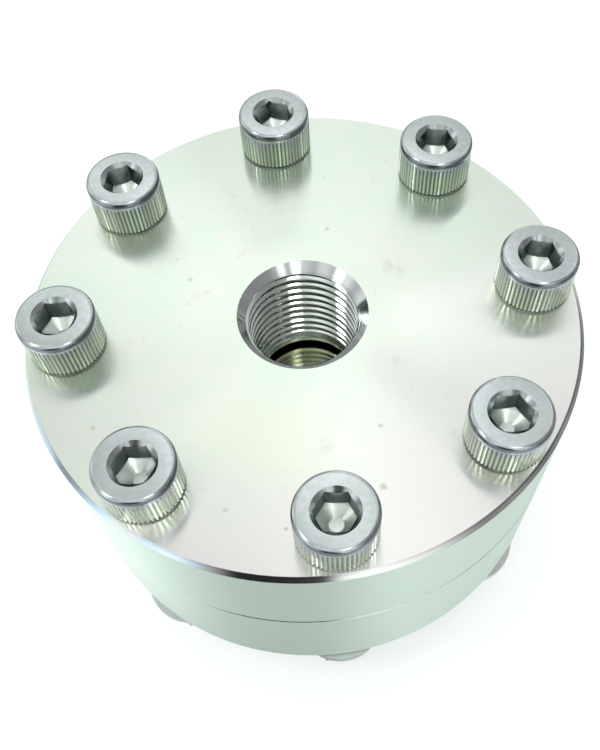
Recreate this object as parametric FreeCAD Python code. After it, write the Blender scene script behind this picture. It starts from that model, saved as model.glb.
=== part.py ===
"""Bolted gauge diaphragm seal: two turned housings clamp a corrugated foil between two threaded ports."""
import FreeCAD, Part
import math
import os

# Driving dimensions, in millimetres and degrees

# Housings
body_diameter = 95.0
upper_rim_thickness = 21.5
lower_rim_thickness = 24.3
joint_gap = 0.4
outer_chamfer = 0.8
joint_edge_break = 0.1

# Threaded ports, half inch taper pipe thread, modelled at the thread's root where a fitting is hand tight
port_thread_diameter = 21.2
gauge_thread_depth = 21.0
port_mouth_diameter = 22.6
port_mouth_slope = 60.0
port_drill_diameter = 18.3
# What the drill leaves between the process thread's end and the chamber
process_land_height = 1.2

# Spigot of the upper housing, inside the ring of screw holes, and its seat in the lower housing
spigot_to_screw_holes = 2.5
spigot_height = 2.0
spigot_edge_break = 0.3
spigot_clearance = 0.2

# Chambers above and below the foil, inside the land that clamps it
clamp_land_width = 6.0
upper_chamber_depth = 1.5
chamber_wall_slope = 45.0
lower_chamber_depth = 1.8

# Corrugated foil
foil_thickness = 0.2
foil_inset = 0.5
foil_flat_diameter = 21.0
corrugation_count = 4
corrugation_height = 0.5

# Flat seal ring under the foil
seal_thickness = 1.5
seal_inset = 0.2

# Socket head cap screws
screw_count = 8
screw_inset = 7.5
screw_diameter = 8.0
screw_length = 60.0
screw_hole_clearance = 0.5
head_diameter = 13.0
head_height = 8.0
head_top_edge = 0.8
head_bottom_edge = 0.4
screw_tip_edge = 1.0

# Hexagon sockets, each with a countersunk mouth and a drilled floor
socket_across_flats = 6.0
socket_depth = 4.6
socket_mouth_diameter = 7.6
socket_mouth_slope = 45.0
socket_floor_slope = 30.0
socket_dimple_diameter = 2.3
# Where each socket's first corner points, one screw after another round the bolt circle
socket_turns = [41.0, 46.0, 37.0, 15.0, 58.0, 53.0, 51.0, 58.0]

# Washers and hexagon nuts under the lower housing
washer_diameter = 17.0
washer_thickness = 1.6
washer_hole_clearance = 0.2
nut_across_flats = 13.0
nut_height = 6.8
nut_thread_clearance = 0.05
nut_chamfer_slope = 30.0

# Levels above the plane that the screw ends stand on
head_seat_z = screw_length
top_z = head_seat_z
upper_rim_z = top_z - upper_rim_thickness
lower_rim_z = upper_rim_z - joint_gap
bottom_z = lower_rim_z - lower_rim_thickness
washer_z = bottom_z - washer_thickness
nut_z = washer_z - nut_height
spigot_z = upper_rim_z - spigot_height
foil_z = spigot_z - foil_thickness
seat_z = foil_z - seal_thickness

# Radii shared between pieces, from the rim inwards
body_radius = body_diameter / 2
bolt_circle_radius = body_radius - screw_inset
screw_radius = screw_diameter / 2
screw_hole_radius = screw_radius + screw_hole_clearance
spigot_radius = bolt_circle_radius - screw_hole_radius - spigot_to_screw_holes
seat_radius = spigot_radius + spigot_clearance
chamber_radius = spigot_radius - clamp_land_width
port_radius = port_thread_diameter / 2
port_mouth_radius = port_mouth_diameter / 2
port_drill_radius = port_drill_diameter / 2

Z_AXIS = FreeCAD.Vector(0, 0, 1)
CENTRE = FreeCAD.Vector(0, 0, 0)


def slope_drop(width, slope):
    """How far a face leaning at this slope from the horizontal drops over this width."""
    return width * math.tan(math.radians(slope))


def turned(outline):
    """A solid of revolution about Z from a closed outline of (radius, height) corners."""
    corners = [FreeCAD.Vector(radius, 0, height) for radius, height in outline]
    section = Part.Face(Part.makePolygon(corners + corners[:1]))
    return section.revolve(CENTRE, Z_AXIS, 360)


def hexagon(across_flats, bottom, height, first_corner=0.0):
    """A hexagonal prism standing on the given level, with one corner pointing at the given angle."""
    corner_radius = across_flats / 2 / math.cos(math.pi / 6)
    corners = []
    for index in range(6):
        angle = math.radians(first_corner + 60 * index)
        corners.append(FreeCAD.Vector(corner_radius * math.cos(angle), corner_radius * math.sin(angle), bottom))
    outline = Part.Face(Part.makePolygon(corners + corners[:1]))
    return outline.extrude(FreeCAD.Vector(0, 0, height))


def screw_angle(index):
    """Where a screw stands round the bolt circle, in degrees from +X."""
    return 360.0 * index / screw_count


def on_bolt_circle(shape, index):
    """A copy of a shape built on the Z axis, moved to one screw's place without turning it."""
    angle = math.radians(screw_angle(index))
    placed = shape.copy()
    placed.translate(FreeCAD.Vector(bolt_circle_radius * math.cos(angle), bolt_circle_radius * math.sin(angle), 0))
    return placed


def screw_holes(bottom, top):
    """The ring of clearance holes for the screws, running past both levels."""
    overrun = 1.0
    hole = Part.makeCylinder(screw_hole_radius, top - bottom + 2 * overrun, FreeCAD.Vector(0, 0, bottom - overrun))
    return Part.Compound([on_bolt_circle(hole, index) for index in range(screw_count)])


def upper_housing():
    """Instrument side: threaded port, rim, and the spigot whose land presses on the foil."""
    mouth_drop = slope_drop(port_mouth_radius - port_radius, port_mouth_slope)
    roof_z = spigot_z + upper_chamber_depth
    roof_radius = chamber_radius - upper_chamber_depth / math.tan(math.radians(chamber_wall_slope))
    body = turned([
        (port_mouth_radius, top_z),
        (body_radius - outer_chamfer, top_z),
        (body_radius, top_z - outer_chamfer),
        (body_radius, upper_rim_z + joint_edge_break),
        (body_radius - joint_edge_break, upper_rim_z),
        (spigot_radius, upper_rim_z),
        (spigot_radius, spigot_z + spigot_edge_break),
        (spigot_radius - spigot_edge_break, spigot_z),
        (chamber_radius, spigot_z),
        (roof_radius, roof_z),
        (port_drill_radius, roof_z),
        (port_drill_radius, top_z - gauge_thread_depth),
        (port_radius, top_z - gauge_thread_depth),
        (port_radius, top_z - mouth_drop),
    ])
    return body.cut(screw_holes(upper_rim_z, top_z))


def lower_housing():
    """Process side: threaded port from below, dished chamber, and the recess that seats the seal ring."""
    mouth_rise = slope_drop(port_mouth_radius - port_radius, port_mouth_slope)
    floor_z = seat_z - lower_chamber_depth
    thread_end_z = floor_z - process_land_height
    body = turned([
        (port_mouth_radius, bottom_z),
        (port_radius, bottom_z + mouth_rise),
        (port_radius, thread_end_z),
        (port_drill_radius, thread_end_z),
        (port_drill_radius, floor_z),
        (chamber_radius, seat_z),
        (seat_radius, seat_z),
        (seat_radius, lower_rim_z),
        (body_radius - joint_edge_break, lower_rim_z),
        (body_radius, lower_rim_z - joint_edge_break),
        (body_radius, bottom_z + outer_chamfer),
        (body_radius - outer_chamfer, bottom_z),
    ])
    return body.cut(screw_holes(bottom_z, lower_rim_z))


def diaphragm():
    """Thin foil clamped at its rim, with concentric folded corrugations that let its flat middle move."""
    foil_radius = spigot_radius - foil_inset
    flat_radius = foil_flat_diameter / 2
    half_pitch = (chamber_radius - flat_radius) / (2 * corrugation_count + 1)
    upper_line = [(0, spigot_z), (flat_radius, spigot_z)]
    for index in range(corrugation_count):
        trough_radius = flat_radius + half_pitch * (2 * index + 0.5)
        upper_line.append((trough_radius, spigot_z - corrugation_height / 2))
        upper_line.append((trough_radius + half_pitch, spigot_z + corrugation_height / 2))
    upper_line.append((flat_radius + half_pitch * 2 * corrugation_count, spigot_z))
    upper_line.append((foil_radius, spigot_z))
    lower_line = [(radius, height - foil_thickness) for radius, height in upper_line]
    return turned(lower_line + upper_line[::-1])


def seal_ring():
    """Flat ring between the foil and the floor of the lower housing's recess."""
    outer_radius = seat_radius - seal_inset
    inner_radius = chamber_radius + seal_inset
    ring = Part.makeCylinder(outer_radius, seal_thickness, FreeCAD.Vector(0, 0, seat_z))
    return ring.cut(Part.makeCylinder(inner_radius, seal_thickness, FreeCAD.Vector(0, 0, seat_z)))


def socket_recess(first_corner):
    """The hollow of a head: countersunk mouth, hexagon, and a drilled floor with a small flat dimple."""
    crown_z = head_seat_z + head_height
    floor_z = crown_z - socket_depth
    flat_radius = socket_across_flats / 2
    mouth_radius = socket_mouth_diameter / 2
    dimple_radius = socket_dimple_diameter / 2
    mouth = turned([
        (0, crown_z),
        (mouth_radius, crown_z),
        (0, crown_z - slope_drop(mouth_radius, socket_mouth_slope)),
    ])
    floor = turned([
        (0, floor_z),
        (flat_radius, floor_z),
        (dimple_radius, floor_z - slope_drop(flat_radius - dimple_radius, socket_floor_slope)),
        (0, floor_z - slope_drop(flat_radius - dimple_radius, socket_floor_slope)),
    ])
    return hexagon(socket_across_flats, floor_z, socket_depth, first_corner).fuse([mouth, floor])


def cap_screw(first_corner):
    """Socket head cap screw, standing on its end with its head on the upper housing."""
    head_radius = head_diameter / 2
    crown_z = head_seat_z + head_height
    blank = turned([
        (0, 0),
        (screw_radius - screw_tip_edge, 0),
        (screw_radius, screw_tip_edge),
        (screw_radius, head_seat_z),
        (head_radius - head_bottom_edge, head_seat_z),
        (head_radius, head_seat_z + head_bottom_edge),
        (head_radius, crown_z - head_top_edge),
        (head_radius - head_top_edge, crown_z),
        (0, crown_z),
    ])
    return blank.cut(socket_recess(first_corner))


def washer():
    """Plain washer under the lower housing."""
    disc = Part.makeCylinder(washer_diameter / 2, washer_thickness, FreeCAD.Vector(0, 0, washer_z))
    hole_radius = screw_radius + washer_hole_clearance
    return disc.cut(Part.makeCylinder(hole_radius, washer_thickness, FreeCAD.Vector(0, 0, washer_z)))


def hex_nut(first_corner):
    """Hexagon nut with its corners turned off at both ends."""
    flat_radius = nut_across_flats / 2
    corner_radius = flat_radius / math.cos(math.pi / 6)
    corner_drop = slope_drop(corner_radius - flat_radius, nut_chamfer_slope)
    envelope = turned([
        (0, nut_z),
        (flat_radius, nut_z),
        (corner_radius, nut_z + corner_drop),
        (corner_radius, washer_z - corner_drop),
        (flat_radius, washer_z),
        (0, washer_z),
    ])
    prism = hexagon(nut_across_flats, nut_z, nut_height, first_corner)
    bore = Part.makeCylinder(screw_radius + nut_thread_clearance, nut_height, FreeCAD.Vector(0, 0, nut_z))
    return prism.common(envelope).cut(bore)


def save(shape, node):
    """Write one closed solid as its own file."""
    solid = shape.Solids[0]
    if len(shape.Solids) != 1 or not solid.isValid():
        raise ValueError(node + " is not one valid solid")
    solid.exportStep("parts/" + node + ".step")


def main():
    os.makedirs("parts", exist_ok=True)
    save(upper_housing(), "upper_housing")
    save(lower_housing(), "lower_housing")
    save(diaphragm(), "diaphragm")
    save(seal_ring(), "seal_ring")
    for index in range(screw_count):
        number = str(index + 1)
        corner = socket_turns[index % len(socket_turns)]
        save(on_bolt_circle(cap_screw(corner), index), "cap_screw_" + number)
        save(on_bolt_circle(washer(), index), "washer_" + number)
        # A flat of each nut faces outwards
        save(on_bolt_circle(hex_nut(screw_angle(index) + 30), index), "hex_nut_" + number)


main()
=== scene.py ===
import math

import bpy
from bpy.props import FloatProperty, FloatVectorProperty, IntProperty, PointerProperty
from mathutils import Matrix, Vector


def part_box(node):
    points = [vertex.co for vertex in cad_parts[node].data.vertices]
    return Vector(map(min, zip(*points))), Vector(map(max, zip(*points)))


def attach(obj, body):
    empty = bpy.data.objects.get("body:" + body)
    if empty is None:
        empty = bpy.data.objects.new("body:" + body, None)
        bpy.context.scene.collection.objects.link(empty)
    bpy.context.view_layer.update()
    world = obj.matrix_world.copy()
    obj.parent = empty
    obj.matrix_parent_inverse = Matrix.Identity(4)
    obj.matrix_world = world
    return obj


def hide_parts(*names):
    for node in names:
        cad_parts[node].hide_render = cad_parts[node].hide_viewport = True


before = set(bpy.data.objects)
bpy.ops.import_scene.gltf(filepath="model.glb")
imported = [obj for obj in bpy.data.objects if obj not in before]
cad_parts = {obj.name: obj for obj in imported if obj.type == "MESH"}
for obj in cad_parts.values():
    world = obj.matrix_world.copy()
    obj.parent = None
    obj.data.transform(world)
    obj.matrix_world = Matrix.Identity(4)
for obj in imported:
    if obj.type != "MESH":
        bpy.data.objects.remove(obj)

bl_info = {
    "name": "Gauge diaphragm seal",
    "version": (1, 0, 0),
    "blender": (4, 5, 0),
    "location": "View3D > Sidebar > Diaphragm Seal",
    "description": "Builds the visible pieces and finishes of a bolted gauge diaphragm seal",
    "category": "Add Mesh",
}

MM = 0.001
SCREWS = range(1, 9)
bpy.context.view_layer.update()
SCREW_LOW, SCREW_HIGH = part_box("cap_screw_1")
UPPER_LOW, UPPER_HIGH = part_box("upper_housing")
LOWER_LOW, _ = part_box("lower_housing")
_, FOIL_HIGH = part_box("diaphragm")

# How close two points of a mesh are when they become one, in metres
WELD_GAP = 1e-6
BORDER_GAP = 3e-6
CUT_GAP = 1e-7

# Steps once round each kind of piece, and in each tooth of the knurl
PORT_STEPS = 128
FOIL_STEPS = 160
TOOL_STEPS = 96
SCREW_THREAD_STEPS = 48
STEPS_PER_TOOTH = 3

# Height over width of a thread's 30 degree flank and of a drill's 30 degree point,
# and depth over pitch of a metric thread
FLANK_SLOPE = math.tan(math.radians(30))
DRILL_SLOPE = math.tan(math.radians(30))
METRIC_DEPTH = 0.6134

# Where the finish of the housings changes, in millimetres from the axis,
# and where the mouth of the gauge port begins, in millimetres of height
BORE_EDGE = (11.25, 11.33)
LINE_INNER = (46.68, 46.78)
RIM_EDGE = (46.72, 46.80)
LINE_OUTER = (46.94, 47.08)
WALL_EDGE = (47.40, 47.49)
MOUTH_EDGE = (58.55, 58.75)

# Colours that aren't a share of a base colour
RIM_REFLECTION_BLUE = (0.60, 0.78, 0.98, 1.0)
REFLECTION_LINE_DARK = (0.10, 0.11, 0.15, 1.0)
STAIN_BROWN = (0.50, 0.44, 0.30, 1.0)
KNURL_REFLECTION_GREEN = (0.60, 0.66, 0.55, 1.0)
DRILLED_PAINTED_LIGHT = (0.80, 0.88, 0.82, 1.0)
RECESS_DARK = (0.03, 0.045, 0.035, 1.0)
BAND_REFLECTION_DARK = (0.08, 0.10, 0.15, 1.0)

# Fans of painted highlight and painted shade on the turned top face, where its reflections fan out: heading
# and half widths of core and edge in degrees from +X,
# and what the base colour is multiplied by
PAINTED_FANS = (
    (100, 5, 24, (0.89, 0.91, 0.88)),
    (-46, 3, 17, (0.96, 0.89, 0.92)),
    (-9, 5, 24, (1.12, 1.05, 1.07)),
)

# Small marks on the top face: place and size in millimetres, and strength
STAINS = (
    ((8.0, -33.9, 60.0), 0.9, 0.6),
    ((-7.4, -38.6, 60.0), 0.45, 0.6),
    ((-16.2, -34.2, 60.0), 0.6, 0.4),
    ((-18.6, 10.1, 60.0), 0.7, 0.4),
    ((6.7, 17.6, 60.0), 0.6, 0.5),
    ((9.5, -23.5, 60.0), 0.6, 0.5),
    ((-36.0, -17.0, 60.0), 0.5, 0.6),
)

# Soft panels round the seal: heading from +X, height and half width in degrees, and colour
SOFTBOXES = (
    (-80, 13, 11, (1.37, 1.43, 1.40)),
    (-60, 12, 11, (0.78, 0.82, 0.80)),
    (-160, 10, 12, (0.98, 1.02, 1.00)),
    (-140, 13, 9, (0.98, 1.02, 1.00)),
    (70, 6, 16, (1.23, 1.27, 1.25)),
    (120, 6, 9, (0.59, 0.61, 0.60)),
    (35, 8, 14, (0.33, 0.35, 0.34)),
    (0, 5, 11, (0.35, 0.37, 0.36)),
    (-30, 7, 10, (0.24, 0.24, 0.24)),
    (85, 20, 12, (0.49, 0.51, 0.50)),
    (150, 18, 13, (0.93, 0.97, 0.95)),
    (-172, 20, 11, (0.64, 0.66, 0.65)),
    (45, 36, 11, (0.59, 0.61, 0.60)),
    (112, 36, 11, (0.64, 0.66, 0.65)),
    (146, 37, 15, (0.41, 0.43, 0.42)),
    (-135, 36, 11, (0.49, 0.51, 0.50)),
    (-60, 38, 8, (0.20, 0.20, 0.20)),
    (-98, 40, 12, (0.54, 0.56, 0.55)),
    (30, 50, 10, (0.71, 0.73, 0.72)),
    (80, 50, 11, (0.65, 0.67, 0.66)),
    (102, 50, 11, (0.42, 0.44, 0.43)),
    (174, 50, 10, (0.29, 0.31, 0.30)),
    (-66, 50, 10, (0.39, 0.41, 0.40)),
    (84, 64, 11, (0.73, 0.75, 0.74)),
    (156, 64, 11, (0.69, 0.71, 0.70)),
    (-132, 63, 12, (0.83, 0.87, 0.85)),
    (30, 77, 12, (0.78, 0.82, 0.80)),
    (-88, 77, 12, (0.49, 0.51, 0.50)),
)

# Bare lamps with a crisp edge, in the same terms
LAMPS = (
    (-71, 65, 5.5, (6.37, 6.63, 6.50)),
    (-177, 53, 5.5, (6.37, 6.63, 6.50)),
    (-160, 29, 7, (1.08, 1.12, 1.10)),
    (-88, 39, 6.5, (0.83, 0.87, 0.85)),
    (-64, 37, 5, (0.73, 0.77, 0.75)),
)

# How steeply the light of a panel and of a lamp falls off
SOFT_EDGE = 1
CRISP_EDGE = 3

# The floor as the camera sees it, in two tones, and its lit and unlit parts as polished steel mirrors them
FLOOR_PALE = (0.86, 0.87, 0.87, 1)
FLOOR_GREY = (0.84, 0.85, 0.85, 1)
FLOOR_LIT = (0.76, 0.79, 0.78, 1)
FLOOR_UNLIT = (0.25, 0.26, 0.27, 1)
FLOOR_GLOW = (0.95, 1, 0.98, 1)
BLACK = (0, 0, 0, 1)
WHITE = (1, 1, 1, 1)

# The camera: its turns about X, Y and Z in radians, its place along the turned axes in millimetres
# from the middle of the top face, and a last turn of both about Z in degrees
VIEW_TURNS = (2.64943, -0.02688, -0.14843)
VIEW_PLACE = (3.459, 18.754, -146.497)
LAST_TURN = -16.43


# Sizes and colours that can be changed in the sidebar

class ScrewSizes(bpy.types.PropertyGroup):
    head_radius: FloatProperty(
        name="Head radius", description="Over the crests of the knurl",
        default=(SCREW_HIGH.x - SCREW_LOW.x) / 2, subtype="DISTANCE", unit="LENGTH")
    head_height: FloatProperty(
        name="Head height", description="From the housing to the crown",
        default=SCREW_HIGH.z - UPPER_HIGH.z, subtype="DISTANCE", unit="LENGTH")
    edge_radius: FloatProperty(
        name="Edge radius", description="Rounding of the crown's polished edge", default=0.85 * MM,
        subtype="DISTANCE", unit="LENGTH")
    seat_chamfer: FloatProperty(
        name="Seat chamfer", description="Chamfer under the head", default=0.55 * MM,
        subtype="DISTANCE", unit="LENGTH")
    knurl_teeth: IntProperty(
        name="Knurl teeth", description="Straight teeth round the head", default=56, min=12)
    knurl_depth: FloatProperty(
        name="Knurl depth", description="From crest to root of the knurl", default=0.24 * MM,
        subtype="DISTANCE", unit="LENGTH")
    socket_flats: FloatProperty(
        name="Socket width", description="Across the flats of the hexagon socket", default=6.0 * MM,
        subtype="DISTANCE", unit="LENGTH")
    socket_depth: FloatProperty(
        name="Socket depth", description="From the crown to the end of the flats", default=4.6 * MM,
        subtype="DISTANCE", unit="LENGTH")
    socket_mouth: FloatProperty(
        name="Socket mouth", description="Radius of the countersunk mouth", default=3.8 * MM,
        subtype="DISTANCE", unit="LENGTH")
    dimple_radius: FloatProperty(
        name="Dimple radius", description="Flat dimple in the drilled floor", default=1.15 * MM,
        subtype="DISTANCE", unit="LENGTH")
    shank_radius: FloatProperty(
        name="Shank radius", description="Over the thread's crests", default=4.0 * MM,
        subtype="DISTANCE", unit="LENGTH")
    thread_pitch: FloatProperty(
        name="Thread pitch", description="Rise of the screw thread in one turn", default=1.25 * MM,
        subtype="DISTANCE", unit="LENGTH")
    thread_length: FloatProperty(
        name="Thread length", description="Thread cut from the screw's end", default=12.0 * MM,
        subtype="DISTANCE", unit="LENGTH")
    socket_turns: FloatVectorProperty(
        name="Socket turns", description="Where the first corner of each socket points, in degrees", size=8,
        default=(41.0, 46.0, 37.0, 15.0, 58.0, 53.0, 51.0, 58.0))


class PortSizes(bpy.types.PropertyGroup):
    wall_radius: FloatProperty(
        name="Wall radius", description="Plain wall that the thread is cut inwards from", default=10.6 * MM,
        subtype="DISTANCE", unit="LENGTH")
    mouth_radius: FloatProperty(
        name="Mouth radius", description="Wide end of the mouth's cone", default=11.3 * MM,
        subtype="DISTANCE", unit="LENGTH")
    mouth_slope: FloatProperty(
        name="Mouth slope", description="How steeply the mouth's cone leans", default=math.radians(45),
        subtype="ANGLE", unit="ROTATION")
    back_top: FloatProperty(
        name="Back top", description="Depth at which the plain back of the thread piece ends",
        default=1.22 * MM, subtype="DISTANCE", unit="LENGTH")
    drill_radius: FloatProperty(
        name="Drill radius", description="Drilled hole, which truncates the thread's crests",
        default=9.15 * MM, subtype="DISTANCE", unit="LENGTH")
    run_in: FloatProperty(
        name="Run-in", description="Plain part of the mouth's cone above the first groove",
        default=1.35 * MM, subtype="DISTANCE", unit="LENGTH")
    ream_taper: FloatProperty(
        name="Ream taper", description="How much the reamed hole widens per unit of height", default=1 / 64)
    pitch: FloatProperty(
        name="Pitch", description="Rise of the pipe thread in one turn", default=25.4 / 14 * MM,
        subtype="DISTANCE", unit="LENGTH")
    taper: FloatProperty(
        name="Taper", description="How much the radius shrinks per unit of depth", default=1 / 32)
    gauge_depth: FloatProperty(
        name="Gauge thread depth", description="From the top face to the end of the thread",
        default=21.0 * MM, subtype="DISTANCE", unit="LENGTH")
    process_depth: FloatProperty(
        name="Process thread depth", description="From the bottom face to the end of the thread",
        default=18.0 * MM, subtype="DISTANCE", unit="LENGTH")


class FoilSizes(bpy.types.PropertyGroup):
    flat_radius: FloatProperty(
        name="Flat radius", description="Flat middle of the foil", default=10.5 * MM,
        subtype="DISTANCE", unit="LENGTH")
    chamber_radius: FloatProperty(
        name="Chamber radius", description="Where the foil leaves its clamped rim", default=27.0 * MM,
        subtype="DISTANCE", unit="LENGTH")
    thickness: FloatProperty(
        name="Thickness", description="Thickness of the foil", default=0.2 * MM,
        subtype="DISTANCE", unit="LENGTH")
    wave_height: FloatProperty(
        name="Wave height", description="From trough to crest of a corrugation", default=0.5 * MM,
        subtype="DISTANCE", unit="LENGTH")
    waves: IntProperty(name="Waves", description="Corrugations round the flat middle", default=4, min=1)


class SealColours(bpy.types.PropertyGroup):
    housing: FloatVectorProperty(
        name="Housing steel", description="Turned stainless steel", subtype="COLOR",
        default=(0.725, 0.79, 0.73), min=0, max=1)
    screws: FloatVectorProperty(
        name="Screw steel", description="Cold headed stainless steel", subtype="COLOR",
        default=(0.53, 0.585, 0.575), min=0, max=1)
    washers: FloatVectorProperty(
        name="Washer steel", description="Stamped stainless steel", subtype="COLOR",
        default=(0.62, 0.64, 0.62), min=0, max=1)
    foil: FloatVectorProperty(
        name="Foil", description="Bright rolled foil", subtype="COLOR",
        default=(0.43, 0.44, 0.31), min=0, max=1)
    seal: FloatVectorProperty(
        name="Seal ring", description="Pale moulded plastic", subtype="COLOR",
        default=(0.80, 0.79, 0.74), min=0, max=1)


# Modelling by hand: outlines, turned pieces, threads and cuts

def deselect():
    """Leaves edit mode, with nothing selected."""
    if bpy.context.mode != "OBJECT":
        bpy.ops.object.mode_set(mode="OBJECT")
    bpy.ops.object.select_all(action="DESELECT")


def pick(obj):
    """Makes one object the selected and active one."""
    deselect()
    obj.select_set(True)
    bpy.context.view_layer.objects.active = obj


def apply_place(obj):
    """Moves an object's place, turn and size into its mesh."""
    pick(obj)
    bpy.ops.object.transform_apply(location=True, rotation=True, scale=True)


def draw_outline(name, corners):
    """An outline in the XZ plane: one vertex, extruded from each (radius, height) corner to the next."""
    deselect()
    radius, height = corners[0]
    bpy.ops.mesh.primitive_plane_add(size=MM, location=(radius, 0, height))
    obj = bpy.context.object
    obj.name = name
    obj.data.name = name
    bpy.ops.object.transform_apply(location=True, rotation=True, scale=True)
    bpy.ops.object.mode_set(mode="EDIT")
    bpy.ops.mesh.select_mode(type="VERT")
    bpy.ops.mesh.select_all(action="SELECT")
    bpy.ops.mesh.merge(type="CENTER")
    for (near_radius, near_height), (far_radius, far_height) in zip(corners, corners[1:]):
        step = (far_radius - near_radius, 0, far_height - near_height)
        bpy.ops.mesh.extrude_region_move(TRANSFORM_OT_translate={"value": step})
    return obj


def close_skin():
    """Welds what meets and turns every face outwards, in edit mode."""
    bpy.ops.mesh.select_all(action="SELECT")
    bpy.ops.mesh.remove_doubles(threshold=WELD_GAP)
    bpy.ops.mesh.normals_make_consistent(inside=False)


def weld(obj):
    """Closes the skin of a piece that was cut."""
    pick(obj)
    bpy.ops.object.mode_set(mode="EDIT")
    close_skin()
    bpy.ops.object.mode_set(mode="OBJECT")


def turn_piece(name, corners, segments):
    """A turned piece: its outline spun once round the Z axis."""
    obj = draw_outline(name, corners)
    bpy.ops.mesh.select_all(action="SELECT")
    bpy.ops.mesh.spin(steps=segments, angle=math.tau, center=(0, 0, 0), axis=(0, 0, 1))
    close_skin()
    bpy.ops.object.mode_set(mode="OBJECT")
    return obj


def wind_thread(name, one_pitch, pitch, turns, segments):
    """A thread's skin: the outline of one pitch wound round the Z axis by a screw modifier."""
    obj = draw_outline(name, one_pitch)
    bpy.ops.object.mode_set(mode="OBJECT")
    pick(obj)
    screw = obj.modifiers.new("Thread", "SCREW")
    screw.axis = "Z"
    screw.angle = math.tau
    screw.screw_offset = pitch
    screw.iterations = turns
    screw.steps = segments
    screw.render_steps = segments
    screw.use_merge_vertices = True
    screw.merge_threshold = WELD_GAP
    bpy.ops.object.modifier_apply(modifier=screw.name)
    bpy.ops.object.mode_set(mode="EDIT")
    bpy.ops.mesh.select_all(action="SELECT")
    bpy.ops.mesh.remove_doubles(threshold=WELD_GAP)
    bpy.ops.object.mode_set(mode="OBJECT")
    return obj


def trim(obj, height, keep_above, fill):
    """Cuts a piece off at one level."""
    pick(obj)
    bpy.ops.object.mode_set(mode="EDIT")
    bpy.ops.mesh.select_all(action="SELECT")
    bpy.ops.mesh.bisect(
        plane_co=(0, 0, height), plane_no=(0, 0, 1), use_fill=fill,
        clear_inner=keep_above, clear_outer=not keep_above, threshold=CUT_GAP)
    bpy.ops.object.mode_set(mode="OBJECT")


def shape_with(obj, tool, operation="DIFFERENCE"):
    """Shapes a piece with another one, which is used up."""
    pick(obj)
    boolean = obj.modifiers.new("Cut", "BOOLEAN")
    boolean.operation = operation
    boolean.solver = "EXACT"
    boolean.object = tool
    bpy.ops.object.modifier_apply(modifier=boolean.name)
    bpy.data.objects.remove(tool)


def select_points(obj, test):
    """Selects the vertices that pass a test of their place, and leaves the piece in edit mode."""
    pick(obj)
    bpy.ops.object.mode_set(mode="EDIT")
    bpy.ops.mesh.select_mode(type="VERT")
    bpy.ops.mesh.select_all(action="DESELECT")
    bpy.ops.object.mode_set(mode="OBJECT")
    for vertex in obj.data.vertices:
        vertex.select = test(vertex.co)
    bpy.ops.object.mode_set(mode="EDIT")


def select_border(obj, test):
    """Selects the open edges that pass a test of their place, and leaves the piece in edit mode."""
    pick(obj)
    bpy.ops.object.mode_set(mode="EDIT")
    bpy.ops.mesh.select_mode(type="EDGE")
    bpy.ops.mesh.select_all(action="SELECT")
    bpy.ops.mesh.remove_doubles(threshold=BORDER_GAP)
    bpy.ops.mesh.select_all(action="DESELECT")
    bpy.ops.mesh.select_non_manifold(
        use_wire=False, use_multi_face=False, use_non_contiguous=False, use_verts=False)
    bpy.ops.object.mode_set(mode="OBJECT")
    points = obj.data.vertices
    for edge in obj.data.edges:
        if edge.select and not test(points[edge.vertices[0]].co):
            edge.select = False
    bpy.ops.object.mode_set(mode="EDIT")


def smooth(obj, degrees):
    """Shades a piece smooth, but for the edges that turn by more than an angle."""
    pick(obj)
    bpy.ops.object.shade_smooth_by_angle(angle=math.radians(degrees))


def coat(obj, material):
    """Leaves a piece with one material."""
    obj.data.materials.clear()
    obj.data.materials.append(material)


def finish_piece(obj, node, material):
    """Gives a new piece its finish and lets it stand for a node of the frame, if one is named."""
    apply_place(obj)
    coat(obj, material)
    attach(obj, "root")
    if node:
        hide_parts(node)


def arc(centre, radius, start, end, steps):
    """(radius, height) corners along an arc, in degrees from the outward direction."""
    corners = []
    for index in range(steps + 1):
        angle = math.radians(start + (end - start) * index / steps)
        corners.append((centre[0] + radius * math.cos(angle), centre[1] + radius * math.sin(angle)))
    return corners


# Shader maths as plain expressions

class Shade:
    """One output socket of a material or of the world."""

    def __init__(self, tree, socket=None):
        self.tree = tree
        self.socket = socket

    def node(self, kind, settings=None, inputs=None, out=0):
        """Adds a node: its settings first, then the values or links of its inputs."""
        made = self.tree.nodes.new("ShaderNode" + kind)
        for name, value in (settings or {}).items():
            setattr(made, name, value)
        for key, value in (inputs or {}).items():
            if isinstance(value, Shade):
                self.tree.links.new(value.socket, made.inputs[key])
            else:
                made.inputs[key].default_value = value
        return Shade(self.tree, made.outputs[out])

    def maths(self, operation, *values):
        return self.node("Math", {"operation": operation}, dict(enumerate(values)))

    def __add__(self, other):
        return self.maths("ADD", self, other)

    __radd__ = __add__

    def __sub__(self, other):
        return self.maths("SUBTRACT", self, other)

    def __rsub__(self, other):
        return self.maths("SUBTRACT", other, self)

    def __mul__(self, other):
        return self.maths("MULTIPLY", self, other)

    __rmul__ = __mul__

    def __truediv__(self, other):
        return self.maths("DIVIDE", self, other)

    def __pow__(self, other):
        return self.maths("POWER", self, other)

    def rising(self, low, high):
        """0 below the low value, 1 above the high one, and a smooth step from one to the other."""
        settings = {"interpolation_type": "SMOOTHSTEP"}
        return self.node("MapRange", settings, {"Value": self, "From Min": low, "From Max": high})

    def falling(self, low, high):
        """The same step downwards: 1 below the low value and 0 above the high one."""
        return 1 - self.rising(low, high)

    def mix(self, low, high):
        """A colour that goes from low to high with this value."""
        return self.node("Mix", {"data_type": "RGBA"}, {0: self, 6: low, 7: high}, out=2)


def colour(values, gain=1.0):
    """Red, green and blue times a gain, with full alpha."""
    return tuple(min(1.0, value * gain) for value in values) + (1.0,)


def tinted(base, *gains):
    """A base colour with its own gain for red, green and blue."""
    return colour([value * gain for value, gain in zip(base, gains)])


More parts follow.
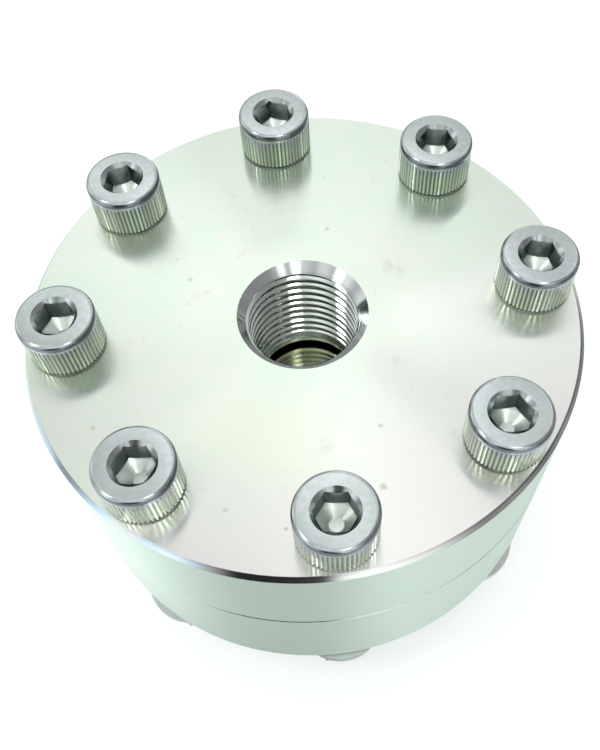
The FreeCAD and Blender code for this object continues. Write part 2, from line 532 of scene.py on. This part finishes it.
def new_material(name, **constants):
    """A material with a Principled shader whose even values are set on its own sockets."""
    material = bpy.data.materials.new(name)
    material.use_nodes = True
    tree = material.node_tree
    shader = tree.nodes["Principled BSDF"]
    for key, value in constants.items():
        shader.inputs[key.replace("_", " ")].default_value = value
    return material, Shade(tree), shader


def feed(shader, key, value):
    """Links a value that varies from place to place to a socket of a shader."""
    value.tree.links.new(value.socket, shader.inputs[key])


def parts_of(vector):
    """The three values of a vector."""
    split = vector.node("SeparateXYZ", {}, {0: vector}).socket.node
    return [Shade(vector.tree, output) for output in split.outputs]


def places(shade):
    """The piece's own coordinates in millimetres, as a vector and as three values."""
    point = shade.node("TexCoord", out="Object")
    scaled = shade.node("Mapping", {}, {"Vector": point, "Scale": (1000, 1000, 1000)})
    return scaled, parts_of(scaled)


def heading_of(x, y):
    """Degrees round the Z axis, from +X."""
    return y.maths("ARCTAN2", y, x) * (180 / math.pi)


def apart(value, middle):
    """How far a value is from a middle one, to either side."""
    return value.maths("ABSOLUTE", value - middle)


def noise(point, scale, detail, roughness=0.5):
    """Cloudy noise from 0 to 1."""
    inputs = {"Vector": point, "Scale": scale, "Detail": detail, "Roughness": roughness}
    return point.node("TexNoise", {}, inputs)


def tool_marks(along, scale, detail):
    """Noise that changes along one value only, so that it draws rings or bands."""
    inputs = {"W": along, "Scale": scale, "Detail": detail}
    return along.node("TexNoise", {"noise_dimensions": "1D"}, inputs)


def bump(shader, height, strength, distance):
    """A relief too fine to be modelled."""
    inputs = {"Strength": strength, "Distance": distance, "Height": height}
    feed(shader, "Normal", height.node("Bump", {}, inputs))


def spot(point, middle, size, ragged):
    """1 inside a small mark at a place in millimetres, with an edge made ragged by noise."""
    solid_part, raggedness = 0.35, 1.6
    away = point.node("VectorMath", {"operation": "DISTANCE"}, {0: point, 1: middle}, out=1)
    away = away + (ragged - 0.5) * size * raggedness
    return away.falling(size * solid_part, size)


def turned_steel(name, base):
    """Turned stainless steel: fine rings on the faces and bands round the wall, with faint stains, and
    painted highlights, shade and reflections on the face and rim.
    """
    material, shade, shader = new_material(name, Metallic=1.0, Anisotropic=0.88, Anisotropic_Rotation=0.25)
    point, (x, y, z) = places(shade)
    radius = (x * x + y * y) ** 0.5
    turn = heading_of(x, y)
    along = radius + z * 1.3
    rings = tool_marks(along, 3.2, 6.0)
    fine = tool_marks(along, 14.0, 3.0)
    cloud = noise(point, 0.05, 5.0, 0.6)
    blot = noise(point, 0.14, 6.0, 0.7)
    speck = noise(point, 0.55, 2.0)

    # The face is faintly pinker towards the front right, and has a painted yellowish highlight in front of
    # the port
    patchy = (cloud * 0.5 + blot * 0.5).rising(0.40, 0.60)
    tint = patchy.mix(tinted(base, 0.93, 1.00, 0.95), tinted(base, 1.03, 0.99, 0.97))
    pinker_front = (radius * 0.4 + x * 0.3 - y * 0.7 + (cloud - 0.5) * 40).rising(8, 42)
    tint = pinker_front.mix(tint, tinted(base, 1.05, 0.95, 1.01))
    aside = apart(turn, -112) + (blot - 0.5) * 40
    yellow_highlight = aside.falling(12, 38) * radius.rising(12, 24) * radius.falling(26, 37)
    tint = (yellow_highlight * 0.8).mix(tint, tinted(base, 1.05, 1.01, 0.91))

    # The painted fans start outside the port, and clouds bend them
    outside = radius.rising(11, 19)
    turn = turn + (cloud - 0.5) * 12
    for heading, core, edge, gains in PAINTED_FANS:
        painted_fan = apart(turn, heading).falling(core, edge) * outside
        tint = painted_fan.mix(tint, tinted(base, *gains))

    # The wall is darker low on its left
    wall = radius.rising(*WALL_EDGE)
    tint = wall.mix(tint, tinted(base, 0.97, 1.03, 1.02))
    low_left = wall * z.falling(20, 40) * turn.falling(-150, -110)
    tint = (low_left * 0.6).mix(tint, colour(base, 0.80))

    # The rim's chamfer starts with a thin line of painted dark reflection, fainter at the front left, where
    # a painted bluish reflection lies on the chamfer
    rim = radius.rising(*RIM_EDGE) * (1 - wall)
    bluish_reflection = rim * turn.rising(-168, -160) * turn.falling(-118, -110) * blot.rising(0.40, 0.52)
    tint = (bluish_reflection * 0.8).mix(tint, RIM_REFLECTION_BLUE)
    dark_reflection_line = radius.rising(*LINE_INNER) * radius.falling(*LINE_OUTER) * (0.35 + blot * 0.45)
    tint = (dark_reflection_line * (turn.rising(-75, -45) * 0.65 + 0.30)).mix(tint, REFLECTION_LINE_DARK)

    tint = ((rings - 0.3) * 0.18).mix(tint, colour(base, 0.90))
    stain = blot.rising(0.60, 0.80) * 0.30 + speck.rising(0.74, 0.80) * 0.35
    for middle, size, depth in STAINS:
        stain = stain + spot(point, middle, size, speck) * depth
    feed(shader, "Base Color", stain.mix(tint, STAIN_BROWN))
    polished = rim.maths("MAXIMUM", rim, radius.falling(*BORE_EDGE))
    rough = 0.23 + (rings - 0.5) * 0.06 + wall * 0.08 + stain * 0.10 - polished * 0.14
    feed(shader, "Roughness", rough)
    bump(shader, rings * 0.6 + fine * 0.4, 0.05, 0.00003)
    return material


def threaded_steel(name, base):
    """Steel cut by a tap: bright flanks with fine tool marks along the thread."""
    material, shade, shader = new_material(name, Metallic=1.0)
    point, (x, y, z) = places(shade)
    marks = tool_marks(z, 9.0, 3.0)
    smear = noise(point, 0.5, 4.0)
    cut = smear.mix(tinted(base, 0.93, 0.92, 1.00), colour(base, 0.80))
    mouth = z.rising(*MOUTH_EDGE)
    tint = mouth.mix(cut, tinted(base, 1.02, 0.98, 1.06))
    # The mouth has painted shade in a patch at its right, which darkens a bright reflection there, and is
    # less of a mirror at its front
    shaded_patch = mouth * x.rising(8.5, 9.8) * apart(y, -0.8).falling(1.2, 2.6)
    feed(shader, "Base Color", shaded_patch.mix(tint, tinted(base, 0.46, 0.44, 0.50)))
    feed(shader, "Metallic", 1 - mouth * y.falling(-6, 0) * 0.45)
    feed(shader, "Roughness", 0.05 + marks * 0.06)
    bump(shader, marks, 0.10, 0.00003)
    return material


def screw_steel(name, base):
    """Cold headed steel with a rolled thread: bright and slightly scuffed, with painted shade in the socket
    and the knurl, a painted highlight on the socket's floor and painted reflections on the head.
    """
    material, shade, shader = new_material(name, Metallic=1.0, Anisotropic=0.6, Anisotropic_Rotation=0.25)
    point, (_, _, z) = places(shade)
    radius = shade.node("Attribute", {"attribute_name": "from_axis"}, out="Fac")
    scuff = noise(point, 0.9, 5.0, 0.65)
    grain = noise(point, 6.0, 2.0)

    # The parts of the head, between its seat at 60 mm and its crown at 68 mm
    socket = radius.falling(3.50, 3.62) * z.rising(60.5, 61.0) * z.falling(67.2, 67.45)
    broached = socket * z.rising(63.2, 63.9)
    drilled = socket - broached
    sunk = radius.falling(3.74, 3.82) * z.rising(67.2, 67.45)
    knurl = radius.rising(6.2, 6.25) * z.falling(65.9, 66.6)
    groove = knurl * radius.falling(6.28, 6.46)
    band = radius.rising(5.95, 6.15) * z.rising(66.75, 67.0) * z.falling(67.62, 67.80)
    foot = radius.rising(5.7, 5.8) * z.falling(60.12, 60.24)

    tint = scuff.rising(0.3, 0.7).mix(tinted(base, 1.10, 1.03, 1.12), tinted(base, 0.94, 0.98, 0.94))
    # The lower part of the knurl is painted greenish, a painted reflection of the top face
    tint = (knurl * z.falling(63.5, 66.2)).mix(tint, KNURL_REFLECTION_GREEN)
    # The drilled floor of the socket is painted pale, a painted highlight
    tint = drilled.mix(tint, DRILLED_PAINTED_LIGHT)
    shadowed = broached * 0.56 + groove * (0.26 + scuff * 0.34) + foot * 0.80 + sunk * 0.06
    tint = shadowed.mix(tint, RECESS_DARK)
    # The band round the head just under its crown is painted dark, a painted dark reflection
    feed(shader, "Base Color", (band * 0.66).mix(tint, BAND_REFLECTION_DARK))
    feed(shader, "Roughness", 0.13 + scuff * 0.12 + drilled * 0.16 - knurl * 0.05)
    bump(shader, scuff * 0.6 + grain * 0.4, 0.12, 0.00004)
    return material


def stamped_steel(name, base):
    """Stamped and tumbled steel of washers and nuts."""
    material, shade, shader = new_material(name, Metallic=1.0)
    point, _ = places(shade)
    scuff = noise(point, 0.6, 5.0)
    grain = noise(point, 4.0, 3.0)
    feed(shader, "Base Color", scuff.mix(colour(base, 1.05), colour(base, 0.85)))
    feed(shader, "Roughness", 0.26 + grain * 0.14)
    bump(shader, grain, 0.15, 0.00005)
    return material


def bright_foil(name, base):
    """Rolled foil, bright as a mirror, with faint pressed rings."""
    material, shade, shader = new_material(name, Metallic=1.0)
    point, (x, y, _) = places(shade)
    rings = tool_marks((x * x + y * y) ** 0.5, 1.6, 3.0)
    haze = noise(point, 0.4, 3.0)
    feed(shader, "Base Color", haze.mix(colour(base, 1.04), colour(base, 0.90)))
    feed(shader, "Roughness", 0.09 + haze * 0.07)
    bump(shader, rings, 0.03, 0.00004)
    return material


def moulded_plastic(name, base):
    """Pale plastic of the hidden seal ring."""
    material, shade, shader = new_material(name)
    point, _ = places(shade)
    mottle = noise(point, 0.8, 4.0)
    feed(shader, "Base Color", mottle.mix(colour(base, 1.03), colour(base, 0.93)))
    feed(shader, "Roughness", 0.45 + mottle * 0.15)
    return material


# The pieces

class SEAL_OT_housings(bpy.types.Operator):
    """Give both turned housings their steel"""
    bl_idname = "seal.housings"
    bl_label = "Housings"

    def execute(self, context):
        colours = context.scene.seal_colours
        steel = turned_steel("Turned steel", tuple(colours.housing))
        for node in ("upper_housing", "lower_housing"):
            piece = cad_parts[node]
            coat(piece, steel)
        return {"FINISHED"}


def port_thread(name, sizes, depth):
    """The thread of a port that opens upwards at the origin.

    It is a tapered groove in a drilled and reamed hole, cut off by the mouth's cone."""
    lip = 0.02 * MM
    root_radius = sizes.wall_radius + 0.01 * MM
    flank = sizes.pitch / 2 - 0.03 * MM
    tap_lead = 1.9 * MM
    entry_slope = 3
    # One pitch, from a crest over the groove's root to the next crest
    steps = 12
    rise = flank / FLANK_SLOPE / steps
    crest_radius = root_radius - rise * steps
    outline = [(crest_radius + rise * index, flank * index / steps) for index in range(steps + 1)]
    outline += [(radius, sizes.pitch - height) for radius, height in outline[::-1]]
    turns = math.ceil(depth / sizes.pitch) + 3
    start = -(turns - 1) * sizes.pitch
    lowered = [(radius, height + start) for radius, height in outline]
    piece = wind_thread(name, lowered, sizes.pitch, turns, PORT_STEPS)
    # The groove tapers, rises out of the steel at its lower end, and starts below the mouth's cone
    for vertex in piece.data.vertices:
        below = -vertex.co.z
        groove = math.hypot(vertex.co.x, vertex.co.y) - sizes.taper * below
        lead = sizes.drill_radius + (root_radius - sizes.drill_radius) * (depth - below) / tap_lead
        cone = sizes.mouth_radius - below / math.tan(sizes.mouth_slope)
        reamed = sizes.drill_radius + sizes.ream_taper * max(depth - below, 0)
        entry = cone + entry_slope * max(below - sizes.run_in, 0)
        radius = max(min(groove, lead, entry), reamed, cone)
        scale = radius / math.hypot(vertex.co.x, vertex.co.y)
        vertex.co.x *= scale
        vertex.co.y *= scale
    trim(piece, -depth, keep_above=True, fill=False)
    trim(piece, -lip, keep_above=False, fill=False)
    # The plain back of the piece, from the thread's end up to the mouth
    select_border(piece, lambda place: place.z < -depth / 2)
    scale = sizes.wall_radius / sizes.drill_radius
    bpy.ops.mesh.extrude_edges_move(TRANSFORM_OT_translate={"value": (0, 0, 0)})
    bpy.ops.transform.resize(value=(scale, scale, 1), center_override=(0, 0, -depth))
    bpy.ops.mesh.extrude_edges_move(TRANSFORM_OT_translate={"value": (0, 0, depth - sizes.back_top)})
    select_border(piece, lambda place: True)
    bpy.ops.mesh.bridge_edge_loops()
    close_skin()
    bpy.ops.object.mode_set(mode="OBJECT")
    smooth(piece, degrees=40)
    return piece


class SEAL_OT_port_threads(bpy.types.Operator):
    """Cut the taper pipe threads of the gauge port and the process port"""
    bl_idname = "seal.port_threads"
    bl_label = "Port threads"

    def execute(self, context):
        sizes = context.scene.seal_ports
        steel = threaded_steel("Tapped steel", tuple(context.scene.seal_colours.housing))
        gauge = port_thread("gauge_port_thread", sizes, sizes.gauge_depth)
        gauge.location.z = UPPER_HIGH.z
        finish_piece(gauge, None, steel)
        process = port_thread("process_port_thread", sizes, sizes.process_depth)
        process.rotation_euler.x = math.pi
        process.location.z = LOWER_LOW.z
        finish_piece(process, None, steel)
        return {"FINISHED"}


class SEAL_OT_diaphragm(bpy.types.Operator):
    """Press the corrugated foil that is clamped between the housings"""
    bl_idname = "seal.diaphragm"
    bl_label = "Diaphragm"

    def execute(self, context):
        sizes = context.scene.seal_foil
        top = UPPER_LOW.z
        rim = FOIL_HIGH.x
        half_wave = (sizes.chamber_radius - sizes.flat_radius) / (2 * sizes.waves + 1)
        crease = 0.4 * MM
        steps = 10
        upper = [(0.0, top), (sizes.flat_radius - crease, top)]
        for index in range(2 * sizes.waves * steps + 1):
            across = half_wave * index / steps
            drop = sizes.wave_height / 2 * math.sin(math.pi * index / steps)
            upper.append((sizes.flat_radius + across, top - drop))
        upper.append((rim, top))
        lower = [(radius, height - sizes.thickness) for radius, height in upper]
        foil = turn_piece("pressed_diaphragm", upper + lower[::-1], FOIL_STEPS)
        smooth(foil, degrees=30)
        steel = bright_foil("Rolled foil", tuple(context.scene.seal_colours.foil))
        finish_piece(foil, "diaphragm", steel)
        return {"FINISHED"}


def screw_blank(sizes):
    """Head and plain shank, standing where the frame has them, with a straight knurl round the head."""
    seat = UPPER_HIGH.z
    crown = seat + sizes.head_height
    rounding = sizes.edge_radius
    plain_band = 0.6 * MM
    run_out = 0.3 * MM
    knurl_low = seat + sizes.seat_chamfer
    knurl_high = crown - rounding - plain_band
    inside_mouth = sizes.socket_mouth - 0.5 * MM
    clear_of_shank = sizes.shank_radius * 1.2
    corners = [
        (0.0, sizes.thread_length),
        (sizes.shank_radius, sizes.thread_length),
        (sizes.shank_radius, seat),
        (sizes.head_radius - sizes.seat_chamfer, seat),
        (sizes.head_radius, knurl_low),
        (sizes.head_radius, knurl_high - run_out),
        (sizes.head_radius, knurl_high),
        (sizes.head_radius, crown - rounding),
    ]
    corners += arc((sizes.head_radius - rounding, crown - rounding), rounding, 0, 90, 7)[1:]
    corners += [(inside_mouth, crown), (0.0, crown)]
    segments = STEPS_PER_TOOTH * sizes.knurl_teeth
    blank = turn_piece("cap_screw", corners, segments)

    def in_groove(place):
        """One step in each tooth, on the knurled part of the head."""
        step = round(math.atan2(place.y, place.x) / math.tau * segments)
        inside = knurl_low - run_out / 2 < place.z < knurl_high - run_out / 2
        return inside and step % STEPS_PER_TOOTH == 0 and math.hypot(place.x, place.y) > clear_of_shank

    select_points(blank, in_groove)
    scale = 1 - sizes.knurl_depth / sizes.head_radius
    bpy.ops.transform.resize(value=(scale, scale, 1), center_override=(0, 0, seat))
    bpy.ops.object.mode_set(mode="OBJECT")
    return blank


def sink_socket(screw, sizes):
    """Drills the floor, countersinks the mouth and broaches the hexagon into a head."""
    crown = UPPER_HIGH.z + sizes.head_height
    floor = crown - sizes.socket_depth
    flat_radius = sizes.socket_flats / 2
    dimple = floor - (flat_radius - sizes.dimple_radius) * DRILL_SLOPE
    over = 1.0 * MM
    corner_radius = flat_radius / math.cos(math.pi / 6)
    outer = corner_radius + over
    drill = turn_piece("drill", [
        (0.0, dimple),
        (sizes.dimple_radius, dimple),
        (outer, dimple + (outer - sizes.dimple_radius) * DRILL_SLOPE),
        (outer, crown + over),
        (0.0, crown + over),
    ], TOOL_STEPS)
    sink = turn_piece("countersink", [
        (0.0, crown - sizes.socket_mouth),
        (sizes.socket_mouth + over, crown + over),
        (0.0, crown + over),
    ], TOOL_STEPS)
    shape_with(screw, sink)
    deselect()
    height = crown - dimple + over
    bpy.ops.mesh.primitive_cylinder_add(
        vertices=6, radius=corner_radius, depth=height,
        location=(0, 0, dimple - over / 2 + height / 2), rotation=(0, 0, -math.pi / 2))
    broach = bpy.context.object
    apply_place(broach)
    shape_with(broach, drill, "INTERSECT")
    shape_with(screw, broach)
    weld(screw)


def screw_thread(sizes):
    """The threaded end of a screw: a wound thread, cut to length and chamfered."""
    depth = METRIC_DEPTH * sizes.thread_pitch
    root = sizes.shank_radius - depth
    flank = depth * FLANK_SLOPE
    crest_flat = sizes.thread_pitch / 8
    root_flat = sizes.thread_pitch - 2 * flank - crest_flat
    outline = [
        (root, 0.0),
        (root, root_flat),
        (sizes.shank_radius, root_flat + flank),
        (sizes.shank_radius, root_flat + flank + crest_flat),
        (root, sizes.thread_pitch),
    ]
    turns = math.ceil(sizes.thread_length / sizes.thread_pitch) + 2
    lowered = [(radius, height - sizes.thread_pitch) for radius, height in outline]
    thread = wind_thread("screw_thread", lowered, sizes.thread_pitch, turns, SCREW_THREAD_STEPS)
    trim(thread, 0.0, keep_above=True, fill=True)
    trim(thread, sizes.thread_length, keep_above=False, fill=True)
    weld(thread)
    lead = 1.0 * MM
    over = 0.1 * MM
    envelope = turn_piece("envelope", [
        (0.0, -over),
        (sizes.shank_radius - lead - over, -over),
        (sizes.shank_radius + over, lead + over),
        (sizes.shank_radius + over, sizes.thread_length + over),
        (0.0, sizes.thread_length + over),
    ], TOOL_STEPS)
    shape_with(thread, envelope, "INTERSECT")
    weld(thread)
    return thread


def mark_radius(obj):
    """Writes each point's distance from the piece's axis, in millimetres, for the finish to read."""
    attribute = obj.data.attributes.new("from_axis", "FLOAT", "POINT")
    for vertex, entry in zip(obj.data.vertices, attribute.data):
        entry.value = math.hypot(vertex.co.x, vertex.co.y) / MM


class SEAL_OT_cap_screws(bpy.types.Operator):
    """Make one socket head cap screw and set eight copies on the bolt circle"""
    bl_idname = "seal.cap_screws"
    bl_label = "Cap screws"

    def execute(self, context):
        sizes = context.scene.seal_screws
        steel = screw_steel("Screw steel", tuple(context.scene.seal_colours.screws))
        blank = screw_blank(sizes)
        sink_socket(blank, sizes)
        thread = screw_thread(sizes)
        deselect()
        thread.select_set(True)
        blank.select_set(True)
        context.view_layer.objects.active = blank
        bpy.ops.object.join()
        smooth(blank, degrees=25)
        mark_radius(blank)
        for number in SCREWS:
            low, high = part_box("cap_screw_%d" % number)
            pick(blank)
            bpy.ops.object.duplicate()
            copy = context.object
            copy.name = "knurled_screw_%d" % number
            copy.data.name = copy.name
            copy.rotation_euler.z = math.radians(sizes.socket_turns[number - 1])
            copy.location = ((low.x + high.x) / 2, (low.y + high.y) / 2, 0)
            finish_piece(copy, "cap_screw_%d" % number, steel)
        bpy.data.objects.remove(blank)
        return {"FINISHED"}


class SEAL_OT_small_parts(bpy.types.Operator):
    """Give the washers, the nuts and the seal ring their finishes"""
    bl_idname = "seal.small_parts"
    bl_label = "Washers, nuts and seal"

    def execute(self, context):
        colours = context.scene.seal_colours
        stamped = stamped_steel("Stamped steel", tuple(colours.washers))
        plastic = moulded_plastic("Moulded plastic", tuple(colours.seal))
        finishes = {"seal_ring": (plastic, "seal_plastic")}
        for number in SCREWS:
            finishes["washer_%d" % number] = (stamped, "washer_steel")
            finishes["hex_nut_%d" % number] = (stamped, "nut_steel")
        for node, (material, slot) in finishes.items():
            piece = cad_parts[node]
            coat(piece, material)
        return {"FINISHED"}


class SEAL_OT_stage(bpy.types.Operator):
    """Set the floor, the soft light and the camera"""
    bl_idname = "seal.stage"
    bl_label = "Stage"

    def execute(self, context):
        scene = context.scene
        scene.view_settings.view_transform = "Standard"
        self.floor()
        self.surroundings(scene)
        self.camera(scene)
        return {"FINISHED"}

    def floor(self):
        """A pale floor, lit evenly for the camera and unevenly for the steel that mirrors it."""
        deselect()
        bpy.ops.mesh.primitive_circle_add(vertices=96, radius=3.0, fill_type="NGON", location=(0, 0, 0))
        floor = bpy.context.object
        floor.name = "studio_floor"
        material, shade, shader = new_material("Pale floor", Roughness=0.9, Emission_Strength=1.0)
        seen = shade.node("LightPath", out="Is Camera Ray")
        mirrored = shade.node("LightPath", out="Is Glossy Ray")
        paper = noise(shade.node("TexCoord", out="Object"), 40.0, 2.0)
        # The light on the floor is uneven, which only shows in the polished wall
        _, (x, y, _) = places(shade)
        heading = heading_of(x, y)
        distance = (x * x + y * y) ** 0.5
        far = distance.rising(120, 300) * heading.rising(-60, -40) * heading.falling(90, 110)
        near = 1 - far
        shown = (mirrored * far).mix(paper.mix(FLOOR_PALE, FLOOR_GREY), FLOOR_UNLIT)
        feed(shader, "Base Color", (mirrored * near).mix(shown, FLOOR_LIT))
        uneven = heading.rising(-98, -70) * 0.28 + heading.falling(-165, -112) * 0.57 + 0.05
        glow = seen * 0.45 + mirrored * uneven * near
        feed(shader, "Emission Color", glow.mix(BLACK, FLOOR_GLOW))
        floor.data.materials.append(material)

    def surroundings(self, scene):
        """A grey room with soft panels and crisp lamps, plain white where the camera sees it."""
        world = bpy.data.worlds.new("Soft studio")
        world.use_nodes = True
        scene.world = world
        shade = Shade(world.node_tree)
        background = world.node_tree.nodes["Background"]
        way = shade.node("TexCoord", out="Generated")
        x, y, z = parts_of(way)

        # An even grey room, paler overhead
        grey = z.rising(0.2, 0.5) * 0.20 + 0.10
        light = grey.node("CombineXYZ", {}, {0: grey, 1: grey, 2: grey})
        # Each panel or lamp is half as bright at its half width as in its middle
        panels = [(panel, SOFT_EDGE) for panel in SOFTBOXES] + [(lamp, CRISP_EDGE) for lamp in LAMPS]
        for (heading, height, half_width, tint), edge in panels:
            turn, rise = math.radians(heading), math.radians(height)
            middle = (math.cos(turn) * math.cos(rise), math.sin(turn) * math.cos(rise), math.sin(rise))
            facing = way.node("VectorMath", {"operation": "DOT_PRODUCT"}, {0: way, 1: middle}, out=1)
            away = (1 - facing) / (1 - math.cos(math.radians(half_width)))
            glow = away.maths("EXPONENT", (away ** edge) * -math.log(2))
            patch = glow.node("VectorMath", {"operation": "SCALE"}, {0: tint, "Scale": glow})
            light = light.node("VectorMath", {"operation": "ADD"}, {0: light, 1: patch})
        # The dark side of the room, low in front of the seal
        dark = apart(heading_of(x, y), -107).falling(12, 20) * z.falling(0.45, 0.65) * 0.88
        light = light.node("VectorMath", {"operation": "SCALE"}, {0: light, "Scale": 1 - dark})
        seen = shade.node("LightPath", out="Is Camera Ray")
        feed(background, "Color", seen.mix(light, WHITE))
        background.inputs["Strength"].default_value = 1.0

    def camera(self, scene):
        """The camera looks down from the front, close to the seal."""
        lens = bpy.data.cameras.new("Camera")
        lens.sensor_width = 36.0
        lens.lens = 41.16
        lens.shift_x = -0.0305
        lens.shift_y = 0.0634
        lens.clip_start = 0.001
        lens.clip_end = 20.0
        holder = bpy.data.objects.new("Camera", lens)
        about_x, about_y, about_z = [Matrix.Rotation(turn, 3, axis) for turn, axis in zip(VIEW_TURNS, "XYZ")]
        rotation = about_x @ about_y @ about_z
        stand = rotation.transposed() @ Vector([value * MM for value in VIEW_PLACE])
        spin = Matrix.Rotation(math.radians(LAST_TURN), 3, "Z")
        facing = spin @ rotation.transposed() @ Matrix.Diagonal((1, -1, -1))
        place = spin @ stand + Vector((0, 0, UPPER_HIGH.z))
        holder.matrix_world = Matrix.Translation(place) @ facing.to_4x4()
        scene.collection.objects.link(holder)
        scene.camera = holder


class SEAL_PT_sidebar(bpy.types.Panel):
    """Lists what the seal is made of"""
    bl_idname = "SEAL_PT_sidebar"
    bl_label = "Diaphragm Seal"
    bl_space_type = "VIEW_3D"
    bl_region_type = "UI"
    bl_category = "Diaphragm Seal"

    def draw(self, context):
        layout = self.layout
        for operator in OPERATORS:
            layout.operator(operator.bl_idname, text=operator.bl_label)
        scene = context.scene
        for group in (scene.seal_screws, scene.seal_ports, scene.seal_foil, scene.seal_colours):
            box = layout.box()
            for name in group.bl_rna.properties.keys():
                if name not in ("rna_type", "name"):
                    box.prop(group, name)


GROUPS = {
    "seal_screws": ScrewSizes,
    "seal_ports": PortSizes,
    "seal_foil": FoilSizes,
    "seal_colours": SealColours,
}
OPERATORS = (
    SEAL_OT_housings,
    SEAL_OT_port_threads,
    SEAL_OT_diaphragm,
    SEAL_OT_cap_screws,
    SEAL_OT_small_parts,
    SEAL_OT_stage,
)


def register():
    for group in GROUPS.values():
        bpy.utils.register_class(group)
    for operator in OPERATORS:
        bpy.utils.register_class(operator)
    bpy.utils.register_class(SEAL_PT_sidebar)
    for name, group in GROUPS.items():
        setattr(bpy.types.Scene, name, PointerProperty(type=group))


def unregister():
    for name in GROUPS:
        delattr(bpy.types.Scene, name)
    bpy.utils.unregister_class(SEAL_PT_sidebar)
    for operator in reversed(OPERATORS):
        bpy.utils.unregister_class(operator)
    for group in reversed(list(GROUPS.values())):
        bpy.utils.unregister_class(group)


def main():
    register()
    bpy.ops.seal.housings()
    bpy.ops.seal.port_threads()
    bpy.ops.seal.diaphragm()
    bpy.ops.seal.cap_screws()
    bpy.ops.seal.small_parts()
    bpy.ops.seal.stage()


if __name__ == "__main__":
    main()
